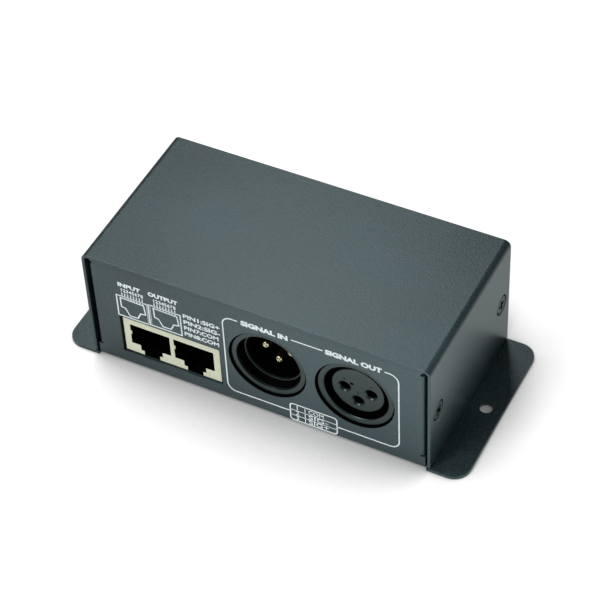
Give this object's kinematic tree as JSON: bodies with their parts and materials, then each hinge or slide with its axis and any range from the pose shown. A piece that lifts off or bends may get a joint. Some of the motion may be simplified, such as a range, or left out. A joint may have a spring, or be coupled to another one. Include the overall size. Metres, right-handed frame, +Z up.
{
  "type": "dmx decoder",
  "caption": "Folded steel lighting decoder box with mounting ears, network jacks and round three-pin connectors in front, screw terminals and address switches behind.",
  "frame": {"origin": "on the standing surface, under the middle of the whole outline", "axes": "+X to the right along the length from ear to ear, +Y from the connector face to the terminal face, +Z up"},
  "size_m": [0.1258, 0.0642, 0.0402],
  "materials": {
    "powder_coat": "fine-textured satin powder coat on sheet steel",
    "black_screw": "blackened steel",
    "board_resin": "satin solder mask",
    "turned_brass": "turned",
    "zinc_steel": "bright zinc plate",
    "ivory_plastic": "moulded satin",
    "gold_contact": "gold-plated spring wire",
    "connector_plastic": "moulded satin",
    "nickel_contact": "nickel-plated",
    "terminal_plastic": "moulded satin",
    "switch_plastic": "moulded satin",
    "slider_plastic": "moulded satin",
    "lamp_resin": "tinted clear resin",
    "capacitor_can": "shrink sleeve on a can",
    "moulded_epoxy": "moulded matt"
  },
  "bodies": {
    "case": {"base_tray": "powder_coat", "cover": "powder_coat", "cover_screw_1": "black_screw", "cover_screw_2": "black_screw", "cover_screw_3": "black_screw", "cover_screw_4": "black_screw", "circuit_board": "board_resin", "board_standoff_1": "turned_brass", "board_standoff_2": "turned_brass", "board_standoff_3": "turned_brass", "board_standoff_4": "turned_brass", "board_screw_1": "zinc_steel", "board_screw_2": "zinc_steel", "board_screw_3": "zinc_steel", "board_screw_4": "zinc_steel", "rj45_housing": "ivory_plastic", "rj45_contacts_in": "gold_contact", "rj45_contacts_out": "gold_contact", "xlr_male_housing": "connector_plastic", "xlr_male_pin_1": "nickel_contact", "xlr_male_pin_2": "nickel_contact", "xlr_male_pin_3": "nickel_contact", "xlr_female_housing": "connector_plastic", "xlr_female_insert": "connector_plastic", "xlr_female_contact_1": "nickel_contact", "xlr_female_contact_2": "nickel_contact", "xlr_female_contact_3": "nickel_contact", "power_header": "terminal_plastic", "power_plug": "terminal_plastic", "output_header": "terminal_plastic", "output_plug": "terminal_plastic", "dip_switch_body": "switch_plastic", "status_led": "lamp_resin", "capacitor": "capacitor_can", "controller_chip": "moulded_epoxy", "power_transistor_1": "moulded_epoxy", "power_transistor_2": "moulded_epoxy", "power_transistor_3": "moulded_epoxy"},
    "power_screw_1": {"power_screw_1": "zinc_steel"},
    "power_screw_2": {"power_screw_2": "zinc_steel"},
    "power_clamp_1": {"power_clamp_1": "nickel_contact"},
    "power_clamp_2": {"power_clamp_2": "nickel_contact"},
    "output_screw_1": {"output_screw_1": "zinc_steel"},
    "output_screw_2": {"output_screw_2": "zinc_steel"},
    "output_screw_3": {"output_screw_3": "zinc_steel"},
    "output_screw_4": {"output_screw_4": "zinc_steel"},
    "output_clamp_1": {"output_clamp_1": "nickel_contact"},
    "output_clamp_2": {"output_clamp_2": "nickel_contact"},
    "output_clamp_3": {"output_clamp_3": "nickel_contact"},
    "output_clamp_4": {"output_clamp_4": "nickel_contact"},
    "dip_slider_1": {"dip_slider_1": "slider_plastic"},
    "dip_slider_2": {"dip_slider_2": "slider_plastic"},
    "dip_slider_3": {"dip_slider_3": "slider_plastic"},
    "dip_slider_4": {"dip_slider_4": "slider_plastic"},
    "dip_slider_5": {"dip_slider_5": "slider_plastic"},
    "dip_slider_6": {"dip_slider_6": "slider_plastic"},
    "dip_slider_7": {"dip_slider_7": "slider_plastic"},
    "dip_slider_8": {"dip_slider_8": "slider_plastic"},
    "dip_slider_9": {"dip_slider_9": "slider_plastic"},
    "dip_slider_10": {"dip_slider_10": "slider_plastic"}
  },
  "joints": [
    {"name": "power_screw_1_turn", "type": "hinge", "parent": "case", "child": "power_screw_1", "pos_m": [0.03296, 0.0275, 0.012], "axis": [0, 0, -1], "range_deg": [0, 1080]},
    {"name": "power_screw_2_turn", "type": "hinge", "parent": "case", "child": "power_screw_2", "pos_m": [0.03804, 0.0275, 0.012], "axis": [0, 0, -1], "range_deg": [0, 1080]},
    {"name": "output_screw_1_turn", "type": "hinge", "parent": "case", "child": "output_screw_1", "pos_m": [0.00388, 0.0275, 0.012], "axis": [0, 0, -1], "range_deg": [0, 1080]},
    {"name": "output_screw_2_turn", "type": "hinge", "parent": "case", "child": "output_screw_2", "pos_m": [0.00896, 0.0275, 0.012], "axis": [0, 0, -1], "range_deg": [0, 1080]},
    {"name": "output_screw_3_turn", "type": "hinge", "parent": "case", "child": "output_screw_3", "pos_m": [0.01404, 0.0275, 0.012], "axis": [0, 0, -1], "range_deg": [0, 1080]},
    {"name": "output_screw_4_turn", "type": "hinge", "parent": "case", "child": "output_screw_4", "pos_m": [0.01912, 0.0275, 0.012], "axis": [0, 0, -1], "range_deg": [0, 1080]},
    {"name": "power_clamp_1_rise", "type": "slide", "parent": "case", "child": "power_clamp_1", "axis": [0, 0, 1], "range_m": [0, 0.0015]},
    {"name": "power_clamp_2_rise", "type": "slide", "parent": "case", "child": "power_clamp_2", "axis": [0, 0, 1], "range_m": [0, 0.0015]},
    {"name": "output_clamp_1_rise", "type": "slide", "parent": "case", "child": "output_clamp_1", "axis": [0, 0, 1], "range_m": [0, 0.0015]},
    {"name": "output_clamp_2_rise", "type": "slide", "parent": "case", "child": "output_clamp_2", "axis": [0, 0, 1], "range_m": [0, 0.0015]},
    {"name": "output_clamp_3_rise", "type": "slide", "parent": "case", "child": "output_clamp_3", "axis": [0, 0, 1], "range_m": [0, 0.0015]},
    {"name": "output_clamp_4_rise", "type": "slide", "parent": "case", "child": "output_clamp_4", "axis": [0, 0, 1], "range_m": [0, 0.0015]},
    {"name": "dip_1_slide", "type": "slide", "parent": "case", "child": "dip_slider_1", "axis": [0, 0, 1], "range_m": [0, 0.0018]},
    {"name": "dip_2_slide", "type": "slide", "parent": "case", "child": "dip_slider_2", "axis": [0, 0, 1], "range_m": [0, 0.0018]},
    {"name": "dip_3_slide", "type": "slide", "parent": "case", "child": "dip_slider_3", "axis": [0, 0, 1], "range_m": [0, 0.0018]},
    {"name": "dip_4_slide", "type": "slide", "parent": "case", "child": "dip_slider_4", "axis": [0, 0, 1], "range_m": [0, 0.0018]},
    {"name": "dip_5_slide", "type": "slide", "parent": "case", "child": "dip_slider_5", "axis": [0, 0, 1], "range_m": [0, 0.0018]},
    {"name": "dip_6_slide", "type": "slide", "parent": "case", "child": "dip_slider_6", "axis": [0, 0, 1], "range_m": [0, 0.0018]},
    {"name": "dip_7_slide", "type": "slide", "parent": "case", "child": "dip_slider_7", "axis": [0, 0, 1], "range_m": [0, 0.0018]},
    {"name": "dip_8_slide", "type": "slide", "parent": "case", "child": "dip_slider_8", "axis": [0, 0, 1], "range_m": [0, 0.0018]},
    {"name": "dip_9_slide", "type": "slide", "parent": "case", "child": "dip_slider_9", "axis": [0, 0, 1], "range_m": [0, 0.0018]},
    {"name": "dip_10_slide", "type": "slide", "parent": "case", "child": "dip_slider_10", "axis": [0, 0, 1], "range_m": [0, 0.0018]}
  ],
  "couplings": [
    {"joint": "power_screw_1_turn", "follows": "power_clamp_1_rise", "rad_per_m": 12566},
    {"joint": "power_screw_2_turn", "follows": "power_clamp_2_rise", "rad_per_m": 12566},
    {"joint": "output_screw_1_turn", "follows": "output_clamp_1_rise", "rad_per_m": 12566},
    {"joint": "output_screw_2_turn", "follows": "output_clamp_2_rise", "rad_per_m": 12566},
    {"joint": "output_screw_3_turn", "follows": "output_clamp_3_rise", "rad_per_m": 12566},
    {"joint": "output_screw_4_turn", "follows": "output_clamp_4_rise", "rad_per_m": 12566}
  ]
}
